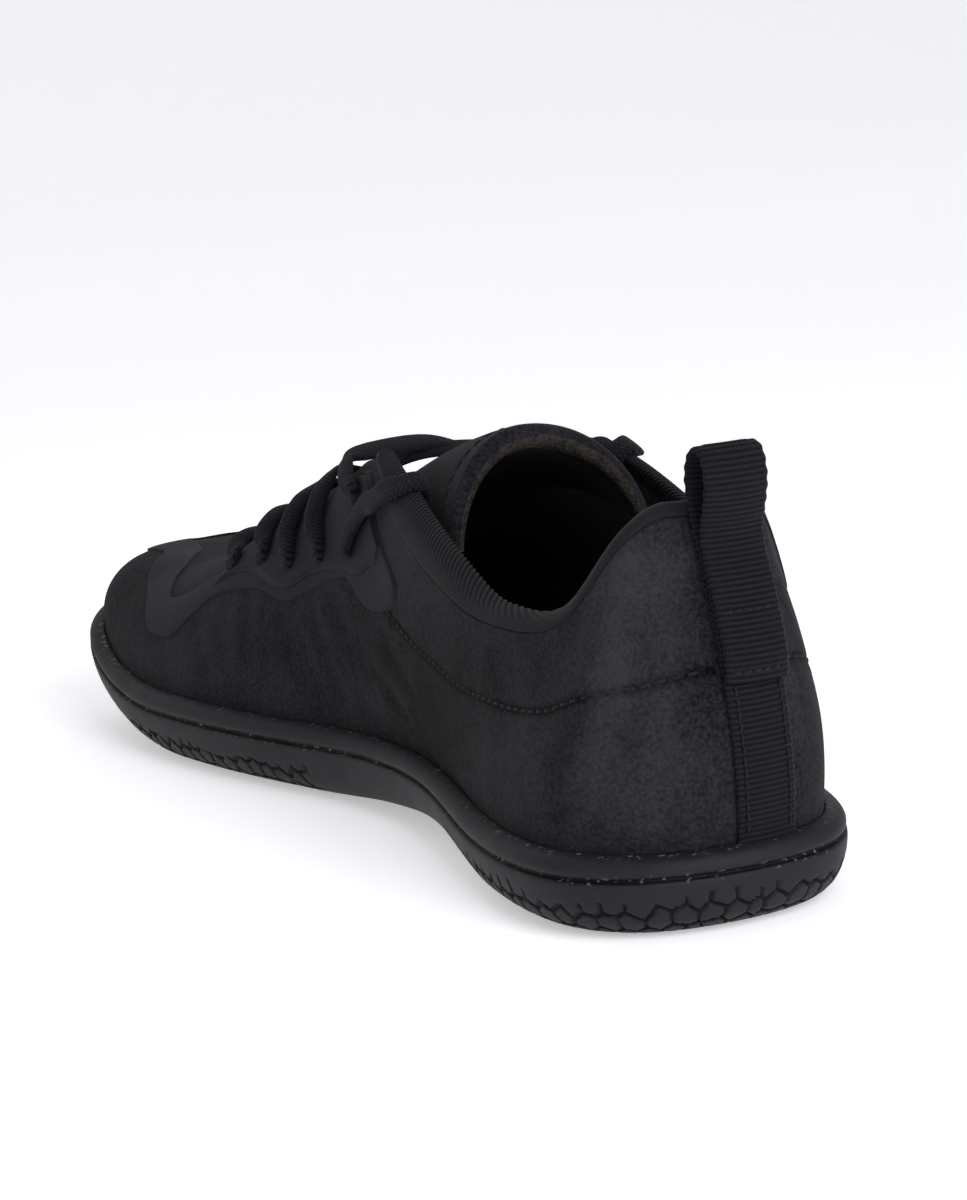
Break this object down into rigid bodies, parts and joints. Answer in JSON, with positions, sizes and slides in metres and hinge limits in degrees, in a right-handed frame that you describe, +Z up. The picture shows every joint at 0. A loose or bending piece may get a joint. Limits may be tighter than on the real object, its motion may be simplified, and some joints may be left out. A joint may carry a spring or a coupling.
{
  "type": "low sneaker",
  "caption": "Low sneaker for the right foot: hollow nubuck upper, welded eyestay overlay, flat laces, ribbed collar, heel pull loop and a moulded rubber cup sole.",
  "frame": {"origin": "middle of the shoe's box, on the floor under the sole", "axes": "+Y from heel to toe, +X to the lateral side (outside of the right foot), +Z up"},
  "size_m": [0.1016, 0.2862, 0.0863],
  "materials": {
    "moulded_rubber": "matt moulded rubber",
    "nubuck": "brushed nubuck nap, lightly worn",
    "ribbed_knit": "ribbed elastic knit",
    "foam_board": "cloth-faced foam",
    "woven_webbing": "ribbed woven webbing",
    "moulded_film": "satin welded film",
    "woven_lace": "flat woven lace"
  },
  "bodies": {
    "root": {"outsole": "moulded_rubber", "upper": "nubuck", "tongue": "nubuck", "collar_band": "ribbed_knit", "insole": "foam_board", "heel_strap": "woven_webbing", "pull_loop": "woven_webbing", "overlay_film": "moulded_film", "lace_bar": "woven_lace", "lace_cross_1": "woven_lace", "lace_cross_2": "woven_lace", "lace_cross_3": "woven_lace", "lace_cross_4": "woven_lace", "lace_end_medial": "woven_lace", "lace_end_lateral": "woven_lace"}
  },
  "joints": []
}
